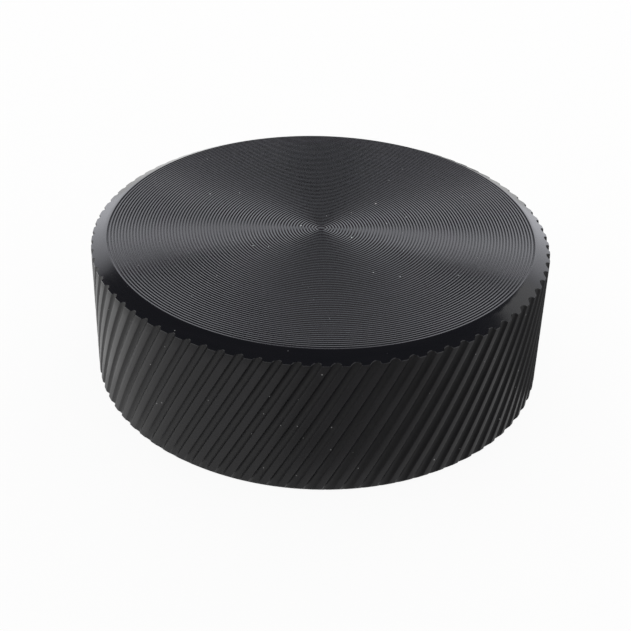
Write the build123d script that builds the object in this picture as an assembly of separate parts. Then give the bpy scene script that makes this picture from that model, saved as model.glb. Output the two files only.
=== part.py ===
from build123d import *
import os
from math import cos, degrees, pi, radians, sin, tan

# A solid aluminium control knob, turned from bar, with slanting knurling round its wall.
# Origin: the middle of the underside, +Z up the axis. Sizes are in millimetres, angles in degrees.

# Turned shape
knob_diameter = 45.0  # over the crests of the knurling
knob_height = 14.7
bevel_width = 1.5  # polished bevel round the top, measured along the radius
bevel_drop = 0.75  # how far that bevel falls
foot_bevel = 0.35  # at 45 degrees round the underside, just deeper than the knurling

# Knurling: grooves that lean to the right as they rise
knurl_pitch = 1.5  # square across the grooves, from one to the next
knurl_lean = 28.0  # between a groove and the knob's axis
groove_depth = 0.32
groove_width = 0.95  # along the crest circle; the bottom of a groove is an arc
first_groove = -91.5  # where a groove starts on the underside, counted from +X towards +Y

# Underside: a recess over the control's nut and a blind bore for its shaft
nut_recess_diameter = 15.0
nut_recess_depth = 2.5
shaft_diameter = 6.0
shaft_clearance = 0.1  # on the diameter
bore_lead_in = 0.4
drill_point = 118.0
top_thickness = 1.7  # metal left over the tip of the drill point

# Grub screw and its hole, on the +Y side
screw_diameter = 3.0
screw_length = 5.0
screw_end_bevel = 0.4
socket_across_flats = 1.5
socket_depth = 2.0
cup_diameter = 1.4
screw_clearance = 0.04  # on the diameter, between the screw and its plainly drawn thread
screw_setback = 0.3  # from the bore to the screw's point, so that a shaft can pass
spare_thread = 3.0  # thread left behind the screw
key_hole_clearance = 0.6  # on the diameter, for the drilled way in that a hex key takes

crest_radius = knob_diameter / 2
root_radius = crest_radius - groove_depth
bore_radius = (shaft_diameter + shaft_clearance) / 2
drill_tip = bore_radius / tan(radians(drill_point / 2))
bore_top = knob_height - top_thickness - drill_tip
screw_height = (nut_recess_depth + bore_top) / 2
screw_radius = screw_diameter / 2
thread_radius = screw_radius + screw_clearance / 2
thread_end = bore_radius + screw_setback + screw_length + spare_thread
groove_count = round(pi * knob_diameter * cos(radians(knurl_lean)) / knurl_pitch)
knurl_twist = degrees(knob_height * tan(radians(knurl_lean)) / crest_radius)


def on_circle(radius, angle):
    """A point of the underside's plane, at a radius and an angle."""
    return Vector(radius * cos(radians(angle)), radius * sin(radians(angle)))


def knurl_section():
    """The knob's cross-section: crest arcs joined by round-bottomed grooves."""
    step = 360 / groove_count
    half_mouth = degrees(groove_width / 2 / crest_radius)
    edges = []
    for groove in range(groove_count):
        middle = first_groove + groove * step
        mouth_start = on_circle(crest_radius, middle - half_mouth)
        root = on_circle(root_radius, middle)
        mouth_end = on_circle(crest_radius, middle + half_mouth)
        crest_middle = on_circle(crest_radius, middle + step / 2)
        next_mouth = on_circle(crest_radius, middle + step - half_mouth)
        edges += [
            Edge.make_three_point_arc(mouth_start, root, mouth_end),
            Edge.make_three_point_arc(mouth_end, crest_middle, next_mouth),
        ]
    return Face(Wire(edges))


def revolved(outline):
    """A solid of revolution from (radius, height) points of half its section."""
    half_section = make_face(Polyline(*outline, close=True))
    return revolve(Plane.XZ * half_section, Axis.Z)


def radial_hole(radius, start, end):
    """A round cutter along +Y at the screw's height, from one distance to another."""
    mouth = Plane(origin=(0, start, screw_height), z_dir=(0, 1, 0))
    return extrude(mouth * Circle(radius), end - start)


def knurled_blank():
    """The knurled bar at its full height, with the bevels turned round its top and foot."""
    bar = Solid.extrude_linear_with_rotation(
        knurl_section(), (0, 0, 0), (0, 0, knob_height), knurl_twist
    )
    beyond = crest_radius + bevel_width
    bevel_start = crest_radius - bevel_width
    bevel_waste = revolved(
        [
            (bevel_start, knob_height),
            (beyond, knob_height - 2 * bevel_drop),
            (beyond, knob_height + bevel_drop),
            (bevel_start, knob_height + bevel_drop),
        ]
    )
    foot_waste = revolved(
        [
            (crest_radius - 2 * foot_bevel, -foot_bevel),
            (crest_radius + foot_bevel, -foot_bevel),
            (crest_radius + foot_bevel, 2 * foot_bevel),
        ]
    )
    return Part() + bar - bevel_waste - foot_waste


def shaft_hole():
    """The recess, the bore's lead-in, the bore and its drill point, as one turned cutter."""
    recess_radius = nut_recess_diameter / 2
    return revolved(
        [
            (0, -bore_lead_in),
            (recess_radius, -bore_lead_in),
            (recess_radius, nut_recess_depth),
            (bore_radius + bore_lead_in, nut_recess_depth),
            (bore_radius, nut_recess_depth + bore_lead_in),
            (bore_radius, bore_top),
            (0, bore_top + drill_tip),
        ]
    )


def knob_body():
    """The knob itself: one turned, knurled, drilled and tapped solid."""
    tapped = radial_hole(thread_radius, 0, thread_end)
    key_hole = radial_hole(thread_radius + key_hole_clearance / 2, thread_end, knob_diameter)
    return knurled_blank() - shaft_hole() - tapped - key_hole


def set_screw():
    """A headless screw with a hexagon socket facing out and a cup point facing the shaft."""
    shank = revolved(
        [
            (0, 0),
            (screw_radius - screw_end_bevel, 0),
            (screw_radius, screw_end_bevel),
            (screw_radius, screw_length - screw_end_bevel),
            (screw_radius - screw_end_bevel, screw_length),
            (0, screw_length),
        ]
    )
    cup = revolved([(0, 0), (cup_diameter / 2, 0), (0, cup_diameter / 2)])
    hexagon = RegularPolygon(socket_across_flats / 2, 6, major_radius=False)
    socket = extrude(Plane.XY.offset(screw_length - socket_depth) * hexagon, socket_depth)
    seat = Plane(origin=(0, bore_radius + screw_setback, screw_height), z_dir=(0, 1, 0))
    return seat * (shank - cup - socket)


pieces = {
    "knob_body": knob_body(),
    "set_screw": set_screw(),
}

os.makedirs("parts", exist_ok=True)
for name, piece in pieces.items():
    export_step(piece, f"parts/{name}.step")
    print(f"{name}: {piece.volume:.1f} cubic mm")

print(f"grooves: {groove_count}, twist over the height: {knurl_twist:.2f} degrees")
print(f"bore from {nut_recess_depth:.2f} to {bore_top:.2f}, screw at {screw_height:.2f}")
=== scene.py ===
# %% [markdown]
# # A knurled control knob
#
# The object is one bar of aluminium, turned on a lathe, knurled round its wall and dyed
# black. A small grub screw in its side grips the shaft. This lesson dresses the measured
# model of that knob: the sizes come from the frame, and the fine shapes and finishes that
# a lathe leaves are made here.

# %% Load the frame
import math

import bpy
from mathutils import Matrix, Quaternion, Vector


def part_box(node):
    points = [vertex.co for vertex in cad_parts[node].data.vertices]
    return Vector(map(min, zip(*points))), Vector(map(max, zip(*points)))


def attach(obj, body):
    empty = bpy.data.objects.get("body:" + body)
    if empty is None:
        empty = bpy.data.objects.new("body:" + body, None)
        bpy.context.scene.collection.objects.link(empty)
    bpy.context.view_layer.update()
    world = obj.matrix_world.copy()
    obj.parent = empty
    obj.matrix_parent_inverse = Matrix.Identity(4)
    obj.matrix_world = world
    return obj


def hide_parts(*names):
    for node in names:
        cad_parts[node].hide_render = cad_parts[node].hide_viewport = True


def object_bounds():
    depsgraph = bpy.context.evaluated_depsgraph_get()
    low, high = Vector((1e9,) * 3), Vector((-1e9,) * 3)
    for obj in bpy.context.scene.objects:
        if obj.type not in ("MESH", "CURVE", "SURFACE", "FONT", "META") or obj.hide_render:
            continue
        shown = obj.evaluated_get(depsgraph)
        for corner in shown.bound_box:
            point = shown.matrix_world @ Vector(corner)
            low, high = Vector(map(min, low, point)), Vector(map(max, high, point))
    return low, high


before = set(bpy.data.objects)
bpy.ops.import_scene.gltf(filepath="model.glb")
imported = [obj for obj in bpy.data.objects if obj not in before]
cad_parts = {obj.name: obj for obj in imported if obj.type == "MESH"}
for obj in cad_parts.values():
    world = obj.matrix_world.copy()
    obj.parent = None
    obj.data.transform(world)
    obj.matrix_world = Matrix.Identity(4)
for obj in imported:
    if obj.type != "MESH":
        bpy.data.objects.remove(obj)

MM = 0.001
cad_low, cad_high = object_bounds()
crest_radius = (cad_high.x - cad_low.x) / 2
knob_height = cad_high.z - cad_low.z
print(f"knob: {2 * crest_radius / MM:.2f} mm across, {knob_height / MM:.2f} mm high")

# %% [markdown]
# ## The camera
#
# A small thing is looked at from close by, so the lens is a long one and the far rim is
# visibly smaller than the near one. The camera stands straight in front, a little more
# than six radii away, and looks down at the knob. A hand never holds it quite level, so
# it also leans by a degree or two.

# %% Stand the camera
lens_length = 75.85  # millimetres, on the usual 36 mm sensor
camera_distance = 6.186 * crest_radius
camera_height = math.radians(34.63)
camera_lean = math.radians(1.73)
looked_at = Vector((-0.0136, 0, 0.1959)) * crest_radius


def from_middle(azimuth, elevation, distance):
    """A point round the origin: azimuth 0 is in front, and 90 is on the right."""
    flat = math.cos(elevation) * distance
    return Vector((math.sin(azimuth) * flat, -math.cos(azimuth) * flat, math.sin(elevation) * distance))


def aim(thing, place, target, lean=0.0):
    """Stands a camera or a lamp at a place and points it at a target."""
    thing.location = place
    thing.rotation_mode = "QUATERNION"
    straight = (place - target).to_track_quat("Z", "Y")
    thing.rotation_quaternion = straight @ Quaternion((0, 0, 1), lean)


camera = bpy.data.objects.new("camera", bpy.data.cameras.new("camera"))
camera.data.lens = lens_length
camera.data.clip_start = camera_distance / 50
camera.data.clip_end = camera_distance * 100
aim(camera, from_middle(0, camera_height, camera_distance), looked_at, camera_lean)
bpy.context.scene.collection.objects.link(camera)
bpy.context.scene.camera = camera
bpy.context.scene.view_settings.view_transform = "Standard"
print(f"camera: {camera_distance / MM:.0f} mm from the middle of the underside")

# %% [markdown]
# ## A skin made of rows
#
# Everything on a lathe is round, so every surface here is a stack of rows: closed loops of
# points, each joined to the next by a band of faces. A modifier could spin a profile, but
# the knurling needs rows whose radius changes on the way round, so a small class keeps the
# points and faces instead. It walks one way only: from the middle of the underside
# outwards, up the wall and back in over the top. Then every face looks outwards.

# %% The skin
TURN = math.tau
WALL, BEVEL, TOP, UNDER = range(4)
sharp_edge = 25


def ring(radius, height, columns):
    """A round row: points at one radius and one height."""
    angles = [TURN * step / columns for step in range(columns)]
    return [(radius * math.cos(angle), radius * math.sin(angle), height) for angle in angles]


class Skin:
    """Rows of points and the faces between them, which end as one closed mesh."""

    def __init__(self):
        self.points, self.faces, self.finishes = [], [], []

    def row(self, points):
        first = len(self.points)
        self.points += points
        return list(range(first, len(self.points)))

    def face(self, corners, finish):
        self.faces.append(corners)
        self.finishes.append(finish)

    def band(self, row, after, finish):
        """Four-sided faces between two rows with as many points each."""
        for here, there in zip(range(len(row)), [*range(1, len(row)), 0]):
            self.face((row[here], row[there], after[there], after[here]), finish)

    def open_from(self, tip, row, finish):
        """A fan from a point on the axis out to a row."""
        for here, there in zip(row, row[1:] + row[:1]):
            self.face((tip, there, here), finish)

    def close_at(self, row, tip, finish):
        """A fan from a row in to a point on the axis."""
        for here, there in zip(row, row[1:] + row[:1]):
            self.face((here, there, tip), finish)

    def angle(self, index):
        return math.atan2(self.points[index][1], self.points[index][0])

    def lace(self, row, after, finish):
        """Triangles between two rows whose counts differ."""
        start = self.angle(row[0])
        gaps = [math.remainder(self.angle(point) - start, TURN) for point in after]
        nearest = min(range(len(after)), key=lambda place: abs(gaps[place]))
        after = after[nearest:] + after[:nearest]
        lead = gaps[nearest]
        reach_row = [(self.angle(point) - start) % TURN for point in row[1:]] + [TURN]
        begin = self.angle(after[0])
        reach_after = [lead + (self.angle(point) - begin) % TURN for point in after[1:]] + [lead + TURN]
        here = there = 0
        while here < len(row) or there < len(after):
            row_point, after_point = row[here % len(row)], after[there % len(after)]
            row_is_next = there == len(after) or (here < len(row) and reach_row[here] <= reach_after[there])
            if row_is_next:
                here += 1
                self.face((row_point, row[here % len(row)], after_point), finish)
            else:
                there += 1
                self.face((row_point, after[there % len(after)], after_point), finish)

    def rows(self, rows, finish, start=None):
        """Joins several rows one after another, and gives back the last."""
        last = start
        for points in rows:
            fresh = self.row(points)
            if last is not None:
                self.band(last, fresh, finish)
            last = fresh
        return last

    def piece(self, name, finishes):
        """The finished object, smooth except where it turns by more than an angle."""
        mesh = bpy.data.meshes.new(name)
        mesh.from_pydata(self.points, [], self.faces)
        for finish in finishes:
            mesh.materials.append(finish)
        mesh.polygons.foreach_set("material_index", self.finishes)
        made = bpy.data.objects.new(name, mesh)
        bpy.context.scene.collection.objects.link(made)
        smooth_over(mesh, sharp_edge)
        return made


def smooth_over(mesh, sharp_angle):
    """Smooth shading that stops at sharp edges and leaves the turned top's faces flat."""
    mesh.polygons.foreach_set("use_smooth", [face.material_index != TOP for face in mesh.polygons])
    mesh.set_sharp_from_angle(angle=math.radians(sharp_angle))
    mesh.update()


def open_edges(mesh):
    """How many edges don't have exactly two faces."""
    uses = {}
    for face in mesh.polygons:
        for key in face.edge_keys:
            uses[key] = uses.get(key, 0) + 1
    return sum(1 for count in uses.values() if count != 2)


# %% [markdown]
# ## Writing finishes as sums
#
# A procedural finish is mostly arithmetic: how far a point is from the axis, how deep it
# lies in a groove, where a speck of dust sits. Dragging Math nodes about by hand hides
# that, so two small classes let Python write it. A `Signal` is one socket that can be
# added, multiplied or compared, and a `Finish` is one material that makes nodes.

# %% Signals and finishes


class Signal:
    """An output socket that can be written into sums with numbers and other signals."""

    def __init__(self, finish, socket):
        self.finish, self.socket = finish, socket

    def math(self, operation, *values):
        return self.finish.node("Math", {"operation": operation}, dict(enumerate(values)))[0]

    def __add__(self, other):
        return self.math("ADD", self, other)

    def __sub__(self, other):
        return self.math("SUBTRACT", self, other)

    def __mul__(self, other):
        return self.math("MULTIPLY", self, other)

    def __truediv__(self, other):
        return self.math("DIVIDE", self, other)

    def __rsub__(self, other):
        return self.math("SUBTRACT", other, self)

    def __rtruediv__(self, other):
        return self.math("DIVIDE", other, self)

    __radd__ = __add__
    __rmul__ = __mul__

    def above(self, level):
        """1 where the signal is over a level, and 0 elsewhere."""
        return self.math("GREATER_THAN", self, level)

    def ease(self, start, end):
        """0 before start, 1 after end, and a soft S between them."""
        settings = {"interpolation_type": "SMOOTHSTEP"}
        sockets = {"Value": self, "From Min": start, "From Max": end}
        return self.finish.node("MapRange", settings, sockets)["Result"]


class Made:
    """A node just made, whose outputs are read by name or number."""

    def __init__(self, finish, made):
        self.finish, self.made = finish, made

    def __getitem__(self, output):
        return Signal(self.finish, self.made.outputs[output])


class Finish:
    """A material built from nodes, with its surface shader waiting for values."""

    def __init__(self, name):
        self.material = bpy.data.materials.new(name)
        self.material.use_nodes = True
        self.tree = self.material.node_tree
        self.tree.nodes.clear()
        self.where = self.node("TexCoord")["Object"]

    def node(self, kind, settings=None, sockets=None):
        """A new node: its type, its settings, then the values or links of its sockets."""
        made = self.tree.nodes.new("ShaderNode" + kind)
        for setting, value in (settings or {}).items():
            if setting == "stops":
                self.set_stops(made.color_ramp, value)
            else:
                setattr(made, setting, value)
        for socket, value in (sockets or {}).items():
            if isinstance(value, Signal):
                self.tree.links.new(value.socket, made.inputs[socket])
            else:
                made.inputs[socket].default_value = value
        return Made(self, made)

    def set_stops(self, ramp, stops):
        while len(ramp.elements) < len(stops):
            ramp.elements.new(1.0)
        for element, (place, colour) in zip(ramp.elements, stops):
            element.position, element.color = place, colour

    def mix(self, amount, first, second):
        """A colour between two colours."""
        sockets = {0: amount, 6: first, 7: second}
        return self.node("Mix", {"data_type": "RGBA"}, sockets)[2]

    def parts(self, vector):
        """The three numbers of a vector."""
        split = self.node("SeparateXYZ", None, {0: vector})
        return split[0], split[1], split[2]

    def point(self, x, y, z):
        return self.node("CombineXYZ", None, {0: x, 1: y, 2: z})[0]

    def noise(self, scale, detail=3.0, where=None):
        sockets = {"Vector": where or self.where, "Scale": scale, "Detail": detail}
        return self.node("TexNoise", None, sockets)["Fac"]

    def bump(self, height, distance, under=None):
        sockets = {"Height": height, "Distance": distance}
        if under is not None:
            sockets["Normal"] = under
        return self.node("Bump", None, sockets)["Normal"]

    def surface(self, **sockets):
        """The Principled shader with its sockets, wired to the output."""
        named = {name.replace("_", " "): value for name, value in sockets.items()}
        shader = self.node("BsdfPrincipled", None, named)["BSDF"]
        self.node("OutputMaterial", None, {"Surface": shader})
        return self.material


# %% [markdown]
# ## Dust
#
# A black knob under a lamp shows every speck of dust. Scattering real grains would cost
# thousands of tiny meshes, so the dust is paint: a Voronoi texture puts one centre in each
# cell of a fine grid, a few of those cells are picked by their random colour, and a point
# close to a picked centre turns pale and dull.

# %% Dust specks
dust_colour = (0.42, 0.42, 0.42, 1)


def dust(finish, cell, reach, share, strength=1.0):
    """How dusty a point is: cell and reach in metres, and the share of cells that hold a speck."""
    cells = finish.node("TexVoronoi", None, {"Vector": finish.where, "Scale": 1 / cell})
    pick, size, pale = finish.parts(cells["Color"])
    near = 1 - (cells["Distance"] * cell / (reach * (size + 0.35))).ease(0.5, 1.0)
    return near * pick.above(1 - share) * (pale * 0.7 + 0.3) * strength


# %% [markdown]
# ## The turned top
#
# The top is faced on the lathe with a pointed tool that moves 0.3 mm at each turn. It
# leaves rings, and each side of a ring mirrors a different part of the room: that is
# what draws the two bright fans. The rings themselves are real geometry, further down. The
# finish adds what is finer than a mesh should hold: hair lines inside each ring, a tone
# that drifts from ring to ring, and the soft grain of the anodising.

# %% Top finish
ring_feed = 0.3 * MM
anodise_black = (0.007, 0.007, 0.0095, 1)
anodise_grey = (0.012, 0.012, 0.0162, 1)
hair_line = 0.06 * MM
anodise_ior = 1.65


def polar(finish):
    """Distance from the knob's axis, and the angle round it in turns."""
    x, y, z = finish.parts(finish.where)
    radius = finish.node("VectorMath", {"operation": "LENGTH"}, {0: finish.point(x, y, 0.0)})["Value"]
    return radius, x.math("ARCTAN2", y, x) / TURN, z


def turned_top():
    finish = Finish("turned_top_anodised")
    radius, angle, _ = polar(finish)
    lines = finish.noise(1.0, 2.0, finish.point(radius / hair_line, angle * 6.0, 0.0))
    ring_tone = finish.noise(1.0, 0.0, finish.point(radius / ring_feed, angle * 2.0, 5.0))
    grain = finish.noise(9000.0, 2.0)
    cloud = finish.noise(90.0, 3.0)
    specks = dust(finish, 0.5 * MM, 0.065 * MM, 0.05, 0.8)
    tone = (ring_tone * 0.5 + cloud * 0.3 + grain * 0.2).ease(0.3, 0.7)
    colour = finish.mix(specks, finish.mix(tone, anodise_black, anodise_grey), dust_colour)
    roughness = 0.07 + lines * 0.05 + cloud * 0.04 + specks * 0.5
    bumped = finish.bump(lines, 0.0006 * MM)
    bumped = finish.bump(grain, 0.0012 * MM, under=bumped)
    bumped = finish.bump(specks, 0.02 * MM, under=bumped)
    return finish.surface(Base_Color=colour, Roughness=roughness, IOR=anodise_ior, Normal=bumped)


# %% [markdown]
# ## The polished bevel
#
# After knurling, a sharp tool takes a bevel off the top edge in one light cut. It has no
# rings, only a bright polish, so the dye over it looks like black glass: nearly black
# where it mirrors the dark overhead, and white where it mirrors a lamp.

# %% Bevel finish


def polished_bevel():
    finish = Finish("polished_bevel_anodised")
    radius, angle, _ = polar(finish)
    waves = finish.noise(1.0, 2.0, finish.point(radius / (0.5 * MM), angle * 30.0, 0.0))
    lines = finish.noise(1.0, 1.0, finish.point(radius / (0.05 * MM), angle * 4.0, 2.0))
    specks = dust(finish, 0.5 * MM, 0.06 * MM, 0.07)
    colour = finish.mix(waves, (0.005, 0.0055, 0.008, 1), (0.008, 0.008, 0.011, 1))
    colour = finish.mix(specks, colour, dust_colour)
    roughness = 0.12 + waves * 0.05 + specks * 0.5
    bumped = finish.bump(waves, 0.002 * MM)
    bumped = finish.bump(lines, 0.0003 * MM, under=bumped)
    return finish.surface(Base_Color=colour, Roughness=roughness, IOR=1.5, Normal=bumped)


# %% [markdown]
# ## The knurled wall
#
# The wall was turned, then pressed between knurling wheels, and the dye went over it dull.
# Its crests keep faint marks of the turning, running round the knob, and the grooves hold
# long scratches from the wheels. The finish tells crest from groove by the distance from
# the axis: the turning marks stay on the crests, and the grooves get a darker colour,
# which is painted shade.

# %% Wall finish
groove_depth = 0.32 * MM


def knurled_wall():
    finish = Finish("knurled_wall_anodised")
    radius, angle, height = polar(finish)
    depth = ((crest_radius - radius) / groove_depth).ease(0.0, 1.0)
    turning = finish.noise(1.0, 2.0, finish.point(height / (0.08 * MM), angle * 3.0, 0.0))
    grain = finish.noise(7000.0, 3.0)
    cloud = finish.noise(220.0, 3.0)
    specks = dust(finish, 0.5 * MM, 0.075 * MM, 0.09)
    worn = (grain * 0.5 + cloud * 0.5).ease(0.3, 0.7)
    colour = finish.mix(worn, (0.0042, 0.0038, 0.0050, 1), (0.0090, 0.0085, 0.0104, 1))
    # Painted shade: the colour turns darker the deeper a point lies in a groove.
    colour = finish.mix(depth * 0.4, colour, (0.003, 0.003, 0.004, 1))
    colour = finish.mix(specks, colour, dust_colour)
    roughness = 0.44 + cloud * 0.1 - turning * 0.06 + specks * 0.3
    bumped = finish.bump(turning * (1 - depth), 0.003 * MM)
    bumped = finish.bump(grain, 0.004 * MM, under=bumped)
    bumped = finish.bump(specks, 0.02 * MM, under=bumped)
    return finish.surface(Base_Color=colour, Roughness=roughness, IOR=1.38, Normal=bumped)


# %% [markdown]
# ## The underside
#
# Nobody sees it in use, so it is faced quickly, with coarser and less even rings than the
# top. The recess, the bore and the screw's hole are part of the same surface.

# %% Underside finish


def plain_underside():
    finish = Finish("faced_underside_anodised")
    radius, angle, height = polar(finish)
    along = radius + height
    wave = along * (TURN / (0.42 * MM))
    rings = wave.math("SINE", wave)
    chatter = finish.noise(1.0, 2.0, finish.point(along / (0.2 * MM), angle * 20.0, 0.0))
    grain = finish.noise(8000.0, 2.0)
    cloud = finish.noise(120.0, 3.0)
    colour = finish.mix((grain * 0.5 + cloud * 0.5).ease(0.3, 0.7), anodise_black, anodise_grey)
    roughness = 0.36 + cloud * 0.12 + chatter * 0.08
    bumped = finish.bump(rings, 0.006 * MM)
    bumped = finish.bump(chatter, 0.004 * MM, under=bumped)
    bumped = finish.bump(grain, 0.0015 * MM, under=bumped)
    return finish.surface(Base_Color=colour, Roughness=roughness, IOR=anodise_ior, Normal=bumped)


# %% [markdown]
# ## One tooth of the knurling
#
# Eighty-three grooves lean over to the right as they rise. Seen along the axis, a tooth is a
# short crest arc and a round-bottomed groove. The wheel never leaves a true corner, so the
# mouth of each groove is rounded over by three points. The bar also runs a little out of
# true under the wheel's push, so the grooves on one side are deeper and wider than on the
# other: `bite` is how much.

# %% The teeth
knurl_pitch = 1.5 * MM
knurl_lean = math.radians(28.0)
groove_width = 0.95 * MM
first_groove = math.radians(-91.5)
deepest_side = math.radians(-10.0)
uneven_bite = 0.2
arc_steps = 4
groove_count = round(TURN * crest_radius * math.cos(knurl_lean) / knurl_pitch)
tooth_turn = TURN / groove_count


def tooth_points(bite):
    """One tooth as (angle from the groove's middle, depth below the crest)."""
    half, deep = bite * groove_width / 2, bite * groove_depth
    radius = (half**2 + deep**2) / (2 * deep)
    sweep = math.asin(half / radius)
    right = []
    for step in range(1, arc_steps):
        turned = sweep * step / arc_steps
        right.append((radius * math.sin(turned), deep - radius * (1 - math.cos(turned))))
    right += [(half - 0.012 * MM, 0.03 * MM), (half + 0.01 * MM, 0.008 * MM), (half + 0.04 * MM, 0.0)]
    right = [(across / crest_radius, depth) for across, depth in right]
    left = [(-angle, depth) for angle, depth in reversed(right)]
    crest_start = right[-1][0]
    crest_turn = tooth_turn - 2 * crest_start
    crest = [(crest_start + crest_turn * share, 0.0) for share in (0.33, 0.67)]
    return left + [(0.0, deep)] + right + crest


columns = []
for groove in range(groove_count):
    turn = tooth_turn * groove
    halfway = first_groove + turn + knob_height / 2 * math.tan(knurl_lean) / crest_radius
    tooth = tooth_points(1 + uneven_bite * math.cos(halfway - deepest_side))
    columns += [(turn + angle, depth) for angle, depth in tooth]
print(f"knurling: {groove_count} grooves, {len(tooth)} points each")

# %% [markdown]
# ## The knob's skin
#
# Now the rows are stacked. The drill's point, the bore and the recess come first, then the
# flat underside, which is laced to the many more points of the knurled edge. The wall's
# columns lean with the grooves, so a dozen rows follow the helix exactly. The bevel cuts
# across the teeth, which is why its lower edge is scalloped. The top ends in the rings,
# three rows to each: a sharp crest and the two edges of a narrow flat bottom.

# %% Stack the rows
bevel_width = 1.5 * MM
bevel_drop = 0.75 * MM
foot_bevel = 0.35 * MM
ring_depth = 0.0315 * MM
ring_profile = ((0.0, 0.0), (0.42, 1.0), (0.58, 1.0))
edge_break = 0.05 * MM
ring_columns = 264
bore_columns = 120
wall_rows = 12
bore_radius = 3.05 * MM
bore_lead_in = 0.4 * MM
recess_radius = 7.5 * MM
recess_depth = 2.5 * MM
top_thickness = 1.7 * MM
drill_tip = bore_radius / math.tan(math.radians(59))
bore_top = knob_height - top_thickness - drill_tip
face_radius = crest_radius - bevel_width


def bevel_height(radius):
    return knob_height - (radius - face_radius) * bevel_drop / bevel_width


def knurl_row(place):
    """A row through every column of the knurling: place gives its radius and height at a depth."""
    points = []
    for turn, depth in columns:
        radius, height = place(depth)
        angle = first_groove + turn + height * math.tan(knurl_lean) / crest_radius
        points.append((radius * math.cos(angle), radius * math.sin(angle), height))
    return points


def on_wall(share):
    """Where a column is at a share of the way from the foot's bevel up to the top's."""

    def place(depth):
        low = max(foot_bevel - depth, edge_break / 2)
        high = bevel_height(crest_radius - depth) - edge_break
        return crest_radius - depth, low + share * (high - low)

    return place


def on_foot(depth):
    return crest_radius - max(foot_bevel, depth + edge_break), 0.0


def add_underside(skin):
    """From the drill's point out to the edge of the underside."""
    profile = [
        (bore_radius, bore_top),
        (bore_radius, recess_depth + bore_lead_in),
        (bore_radius + bore_lead_in, recess_depth),
        (recess_radius - edge_break, recess_depth),
        (recess_radius, recess_depth - edge_break),
        (recess_radius, edge_break),
        (recess_radius + edge_break, 0.0),
        (face_radius, 0.0),
    ]
    tip = skin.row([(0.0, 0.0, bore_top + drill_tip)])[0]
    first = skin.row(ring(*profile[0], bore_columns))
    skin.open_from(tip, first, UNDER)
    return skin.rows([ring(*place, bore_columns) for place in profile[1:]], UNDER, first)


def add_wall(skin, inner):
    """From the edge of the underside up to the bevel."""
    foot = skin.row(knurl_row(on_foot))
    skin.lace(inner, foot, UNDER)
    rows = [knurl_row(on_wall(step / wall_rows)) for step in range(wall_rows + 1)]
    return skin.rows(rows, WALL, foot)


def add_bevel(skin, wall_top):
    """The cone between the scalloped edge and the turned face."""
    outline = [skin.points[index] for index in wall_top]
    rows = []
    for share in (0.0, 0.35, 0.7, 1.0):
        points = []
        for x, y, _ in outline:
            outer = math.hypot(x, y)
            radius = (outer - edge_break / 2) * (1 - share) + (face_radius + edge_break / 2) * share
            points.append((x * radius / outer, y * radius / outer, bevel_height(radius)))
        rows.append(points)
    return skin.rows(rows, BEVEL, wall_top)


def add_rings(skin, bevel_top):
    """The flat top with its turned rings, in to the middle."""
    outer = skin.row(ring(face_radius - edge_break / 2, knob_height, ring_columns))
    skin.lace(bevel_top, outer, TOP)
    ring_count = int(outer_ring_radius / ring_feed)
    rows = []
    for turned in range(ring_count):
        for across, dip in ring_profile:
            radius = outer_ring_radius - (turned + across) * ring_feed
            rows.append(ring(radius, knob_height - dip * ring_depth, ring_columns))
    last = skin.rows(rows, TOP, outer)
    middle = skin.row([(0.0, 0.0, knob_height)])[0]
    skin.close_at(last, middle, TOP)
    return ring_count


outer_ring_radius = face_radius - edge_break
skin = Skin()
wall_top = add_wall(skin, add_underside(skin))
ring_count = add_rings(skin, add_bevel(skin, wall_top))
finishes = [knurled_wall(), polished_bevel(), turned_top(), plain_underside()]
knob = skin.piece("turned_knob", finishes)
print(f"knob: {ring_count} rings, {len(knob.data.polygons)} faces, {open_edges(knob.data)} open edges")

# %% [markdown]
# ## The screw and its thread
#
# A metric thread is a groove that climbs one pitch in each turn. Round a row, the radius
# depends on how far the row's height is from the nearest turn of the thread, and the same
# formula with a hair more radius cuts the hole that the screw runs in. The two match, as a
# tap and a die do.

# %% Thread helpers
thread_pitch = 0.5 * MM
thread_depth = 0.27 * MM
thread_play = 0.02 * MM
thread_columns = 48
rows_per_pitch = 8
screw_low, screw_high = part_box("set_screw")
screw_radius = (screw_high.x - screw_low.x) / 2
screw_length = screw_high.y - screw_low.y
screw_height = (screw_low.z + screw_high.z) / 2
print(f"screw: {2 * screw_radius / MM:.2f} mm by {screw_length / MM:.2f} mm")
print(f"screw's height: {screw_height / MM:.2f} mm")


def thread_radius(angle, along, play, ceiling):
    """The thread's radius at an angle and a distance along it, never over a ceiling."""
    phase = (along / thread_pitch - angle / TURN) % 1.0
    from_crest = abs(phase - 0.5) * 2
    share = min(1.0, max(0.0, (from_crest - 0.125) / 0.625))
    return min(screw_radius + play - thread_depth * share, ceiling)


def thread_rows(start, end, play, ceiling_at):
    """Rows of thread from one distance to another along the screw."""
    count = round((end - start) / thread_pitch * rows_per_pitch)
    rows = []
    for step in range(count + 1):
        along = start + (end - start) * step / count
        points = []
        for column in range(thread_columns):
            angle = TURN * column / thread_columns
            radius = thread_radius(angle, along, play, ceiling_at(along))
            points.append((radius * math.cos(angle), radius * math.sin(angle), along))
        rows.append(points)
    return rows


def lay_along_y(skin):
    """Turns a skin that was built along +Z so that it points along +Y at the screw's height."""
    skin.points = [(x, z, screw_height - y) for x, y, z in skin.points]


# %% [markdown]
# The hole is cut with a boolean. Its cutter is a solid of two diameters: the tapped part,
# and the wider way in that the drill made from the outside. The faces that it leaves in
# the knob take the underside's finish.

# %% Cut the screw's hole
spare_thread = 3.0 * MM
key_hole_radius = screw_radius + 0.32 * MM
hole_start = bore_radius / 2
thread_end = screw_high.y + spare_thread
step_length = (key_hole_radius - screw_radius) / math.tan(math.radians(59))


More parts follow.
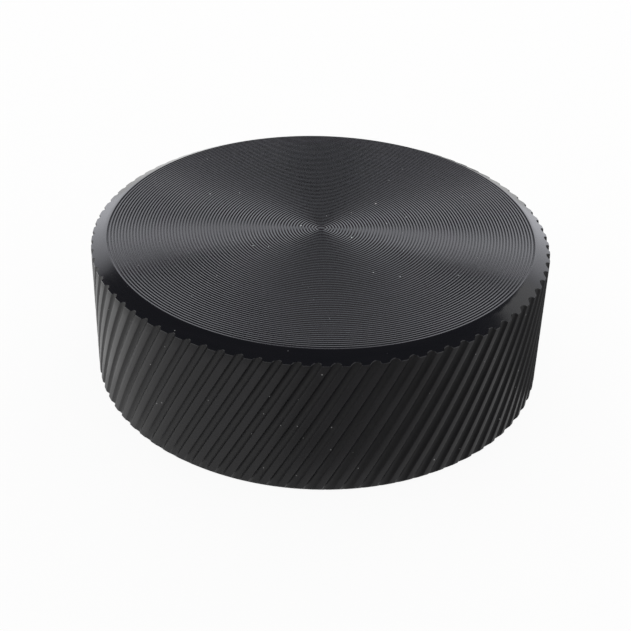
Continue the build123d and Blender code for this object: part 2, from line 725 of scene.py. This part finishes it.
def hole_cutter():
    cutter = Skin()
    start = cutter.row([(0.0, 0.0, hole_start)])[0]
    threaded = thread_rows(hole_start, thread_end, thread_play, lambda along: 1.0)
    first = cutter.row(threaded[0])
    cutter.open_from(start, first, UNDER)
    last = cutter.rows(threaded[1:], UNDER, first)
    way_in = [ring(key_hole_radius, thread_end + step_length, thread_columns)]
    way_in.append(ring(key_hole_radius, crest_radius * 1.2, thread_columns))
    last = cutter.rows(way_in, UNDER, last)
    end = cutter.row([(0.0, 0.0, crest_radius * 1.2)])[0]
    cutter.close_at(last, end, UNDER)
    lay_along_y(cutter)
    return cutter.piece("screw_hole_cutter", finishes)


cutter = hole_cutter()
cut = knob.modifiers.new("screw_hole", "BOOLEAN")
cut.operation, cut.solver, cut.object = "DIFFERENCE", "EXACT", cutter
knob_mesh = bpy.data.meshes.new_from_object(knob.evaluated_get(bpy.context.evaluated_depsgraph_get()))
knob.modifiers.clear()
knob.data = knob_mesh
knob.data.name = "turned_knob"
bpy.data.objects.remove(cutter)
smooth_over(knob.data, sharp_edge)
print(f"knob with its hole: {len(knob.data.polygons)} faces, {open_edges(knob.data)} open edges")

# %% [markdown]
# ## The grub screw
#
# A headless screw with a cup point towards the shaft and a hexagon socket towards the key.
# Every row has as many points, and the hexagon is only a row whose radius follows the six
# flats, so its faces flow straight into the round end.

# %% Build the screw
socket_across_flats = 1.5 * MM
socket_depth = 2.0 * MM
screw_end_bevel = 0.4 * MM
cup_radius = 0.7 * MM


def hexagon_row(height, scale=1.0):
    """A row round the six flats of the socket."""
    points = []
    for column in range(thread_columns):
        angle = TURN * column / thread_columns
        from_flat = math.remainder(angle, TURN / 6)
        radius = scale * socket_across_flats / 2 / math.cos(from_flat)
        points.append((radius * math.cos(angle), radius * math.sin(angle), height))
    return points


def screw_skin():
    """The screw along +Z, from its cup point to its socket."""
    screw = Skin()
    start, end = screw_low.y, screw_high.y
    end_radius = screw_radius - screw_end_bevel

    def ceiling(along):
        return end_radius + min(along - start, end - along)

    cup = screw.row([(0.0, 0.0, start + cup_radius)])[0]
    rim = screw.row(ring(cup_radius, start, thread_columns))
    screw.open_from(cup, rim, 0)
    last = screw.rows(thread_rows(start, end, 0.0, ceiling), 0, rim)
    last = screw.rows([ring(end_radius - edge_break, end, thread_columns)], 0, last)
    socket = [hexagon_row(end, 1.06), hexagon_row(end - edge_break), hexagon_row(end - socket_depth)]
    last = screw.rows(socket, 0, last)
    bottom = screw.row([(0.0, 0.0, end - socket_depth - 0.3 * MM)])[0]
    screw.close_at(last, bottom, 0)
    lay_along_y(screw)
    return screw


def blackened_steel():
    finish = Finish("blackened_steel")
    grain = finish.noise(9000.0, 3.0)
    cloud = finish.noise(900.0, 3.0)
    worn = (grain * 0.4 + cloud * 0.6).ease(0.42, 0.72)
    colour = finish.mix(worn, (0.028, 0.027, 0.026, 1), (0.11, 0.105, 0.1, 1))
    roughness = 0.3 + grain * 0.2
    bumped = finish.bump(grain, 0.003 * MM)
    return finish.surface(Base_Color=colour, Metallic=0.85, Roughness=roughness, Normal=bumped)


screw = screw_skin().piece("grub_screw", [blackened_steel()])
print(f"screw: {len(screw.data.polygons)} faces, {open_edges(screw.data)} open edges")

# %% [markdown]
# ## Tying the pieces to the frame
#
# Each piece rides on the body that it belongs to and stands for the plain solid of that name.

# %% Ride and replace
for piece, node, slot in (
    (knob, "knob_body", "black_anodised_aluminium"),
    (screw, "set_screw", "black_oxide_steel"),
):
    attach(piece, "root")
    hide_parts(node)

# %% [markdown]
# ## Floor, cards and lamps
#
# Shiny black is drawn by what it mirrors. The room is white to the eye and to reflections,
# so the dark parts have to be put there. A card overhead and one behind the camera keep
# the bevel black in front. The card behind the knob is bright low down and black above, so
# the side of a ring that leans away from the eye is bright and the other side is dark. A
# small dark notch in it deepens the wedge in front. Little cards on the floor tune what
# the wall mirrors: the grey one right of the knob is painted shade of the floor there, the
# dull one in front is a painted reflection of a darker floor, and the bright one on the
# left is a painted reflection of a brighter one. Only reflections see the cards. The two soft
# lamps do the opposite: they light the dull surfaces and cast the shadow, and no
# reflection shows them.

# %% Floor
floor_size = 3.0


def pale_floor():
    finish = Finish("pale_floor")
    path = finish.node("LightPath")
    seen = path["Is Camera Ray"].math("MAXIMUM", path["Is Camera Ray"], path["Is Glossy Ray"])
    seen = seen.math("MAXIMUM", seen, path["Is Transmission Ray"])
    paper = finish.node("BsdfDiffuse", None, {"Color": (0.86, 0.85, 0.845, 1)})["BSDF"]
    white = finish.node("Emission", None, {"Color": (1, 1, 1, 1), "Strength": 1.0})["Emission"]
    sheet = finish.node("MixShader", None, {0: seen * 0.93, 1: paper, 2: white})["Shader"]
    finish.node("OutputMaterial", None, {"Surface": sheet})
    return finish.material


def sheet(name, corners, material):
    """A flat four-cornered sheet that belongs to the stage."""
    mesh = bpy.data.meshes.new(name)
    mesh.from_pydata(corners, [], [(0, 1, 2, 3)])
    mesh.materials.append(material)
    made = bpy.data.objects.new(name, mesh)
    bpy.context.scene.collection.objects.link(made)
    return made


half = floor_size / 2
sheet("floor", [(-half, -half, 0), (half, -half, 0), (half, half, 0), (-half, half, 0)], pale_floor())

# %% Cards


def card_paper(name, brightness, shade=None):
    """Paper that looks as bright from everywhere, with a faint weave and perhaps a shading."""
    finish = Finish(name)
    look = finish.mix(finish.noise(40.0, 3.0) * 0.2, (1, 1, 1, 1), (0.6, 0.6, 0.6, 1))
    if shade:
        sideways, upwards = shade
        across, _, up = finish.parts(finish.where)
        middle = 1 - across.math("ABSOLUTE", across).ease(0.09, 0.13)
        sides = finish.node("ValToRGB", {"stops": sideways}, {0: across / (2 * back_half) + 0.5})["Color"]
        sides = finish.mix((up / roof).ease(0.7, 1.05) * 0.45, sides, (0, 0, 0, 1))
        look = finish.mix(middle, sides, finish.node("ValToRGB", {"stops": upwards}, {0: up / roof})["Color"])
        notch = (up / roof).ease(0.47, 0.54) * (1 - (up / roof).ease(0.63, 0.69))
        notch = notch * (1 - across.math("ABSOLUTE", across).ease(0.008, 0.026)) * 0.85
        look = finish.mix(notch, look, (0.02, 0.02, 0.02, 1))
    glow = finish.node("Emission", None, {"Color": look, "Strength": brightness})["Emission"]
    finish.node("OutputMaterial", None, {"Surface": glow})
    return finish.material


roof, left, right, front, back = 0.3, -0.56, 0.27, -0.4, 0.38
back_half = 0.4
brightest = 2.0


def paper_stops(places):
    """Colour stops for pairs of a place from 0 to 1 and a brightness there."""
    return [(place, (0.97 * share, 0.98 * share, 1.04 * share, 1)) for place, share in places]


sideways = [
    (0.0, 0.55), (0.125, 0.8), (0.22, 0.95), (0.29, 0.75), (0.35, 0.5),
    (0.65, 0.6), (0.71, 0.85), (0.78, 1.0), (0.875, 0.8), (1.0, 0.65),
]
upwards = [
    (0.0, 0.01), (0.15, 0.02), (0.22, 0.06), (0.3, 0.28), (0.38, 0.65), (0.45, 0.84), (0.55, 0.78),
    (0.64, 0.68), (0.74, 0.62), (0.785, 0.02), (1.0, 0.02),
]
shade = (paper_stops(sideways), paper_stops(upwards))
black_paper = card_paper("black_paper", 0.06)
painted_shade_card = card_paper("painted_shade_card", 0.2)
painted_dark_reflection = card_paper("painted_dark_reflection", 0.5)
painted_bright_reflection = card_paper("painted_bright_reflection", 1.5)
shaded_paper = card_paper("shaded_paper", brightest, shade)
overhead = [(left, front, roof), (right, front, roof), (right, back, roof), (left, back, roof)]
behind_camera = [(left, front, 0), (right, front, 0), (right, front, roof), (left, front, roof)]
behind_knob = [(-back_half, back, 0), (back_half, back, 0), (back_half, back, roof), (-back_half, back, roof)]
low = 0.0003
# Floor cards, seen only in reflections: right of the knob a painted shade of the floor, in front a painted
# darker reflection of the floor, on the left a painted bright reflection.
right_of_knob = [(0.0222, -0.0085, low), (0.07, -0.0085, low), (0.07, 0.07, low), (0.012, 0.07, low)]
left_of_knob = [(-0.06, -0.01, low), (-0.0235, -0.01, low), (-0.0235, 0.05, low), (-0.06, 0.05, low)]
before_knob = [(-0.007, -0.2, low), (0.09, -0.2, low), (0.04, -0.02, low), (-0.005, -0.026, low)]
for name, corners, paper in (
    ("overhead_card", overhead, black_paper),
    ("front_card", behind_camera, black_paper),
    ("back_card", behind_knob, shaded_paper),
    ("right_card", right_of_knob, painted_shade_card),
    ("left_card", left_of_knob, painted_bright_reflection),
    ("floor_card", before_knob, painted_dark_reflection),
):
    card = sheet(name, corners, paper)
    card.visible_camera = card.visible_diffuse = card.visible_shadow = False

# %% Lamps and world


def softbox(name, azimuth, elevation, distance, width, height, brightness, colour=(1, 1, 1)):
    """A soft rectangular lamp that faces the knob, as bright as so many white walls."""
    lamp = bpy.data.lights.new(name, "AREA")
    lamp.shape, lamp.size, lamp.size_y = "RECTANGLE", width, height
    lamp.energy, lamp.color = brightness * math.pi * width * height, colour
    made = bpy.data.objects.new(name, lamp)
    bpy.context.scene.collection.objects.link(made)
    aim(made, from_middle(math.radians(azimuth), math.radians(elevation), distance), Vector((0, 0, 0.01)))
    made.visible_camera = made.visible_glossy = False
    return made


softbox("lamp_back_left", 207, 19, 0.6, 0.38, 0.36, 1.9)
softbox("lamp_back_right", 153, 20, 0.6, 0.38, 0.38, 2.3)

world = bpy.data.worlds.new("white_room")
world.use_nodes = True
bpy.context.scene.world = world
tree = world.node_tree
tree.nodes.clear()
path = tree.nodes.new("ShaderNodeLightPath")
room = tree.nodes.new("ShaderNodeBackground")
room.inputs["Strength"].default_value = 1.0
white = tree.nodes.new("ShaderNodeBackground")
white.inputs["Color"].default_value = (1, 1, 1, 1)
white.inputs["Strength"].default_value = 1.0
seen = path.outputs["Is Camera Ray"]
for kind in ("Is Glossy Ray", "Is Transmission Ray"):
    either = tree.nodes.new("ShaderNodeMath")
    either.operation = "MAXIMUM"
    tree.links.new(seen, either.inputs[0])
    tree.links.new(path.outputs[kind], either.inputs[1])
    seen = either.outputs[0]
mix = tree.nodes.new("ShaderNodeMixShader")
tree.links.new(seen, mix.inputs[0])
tree.links.new(room.outputs[0], mix.inputs[1])
tree.links.new(white.outputs[0], mix.inputs[2])
out = tree.nodes.new("ShaderNodeOutputWorld")
tree.links.new(mix.outputs[0], out.inputs[0])
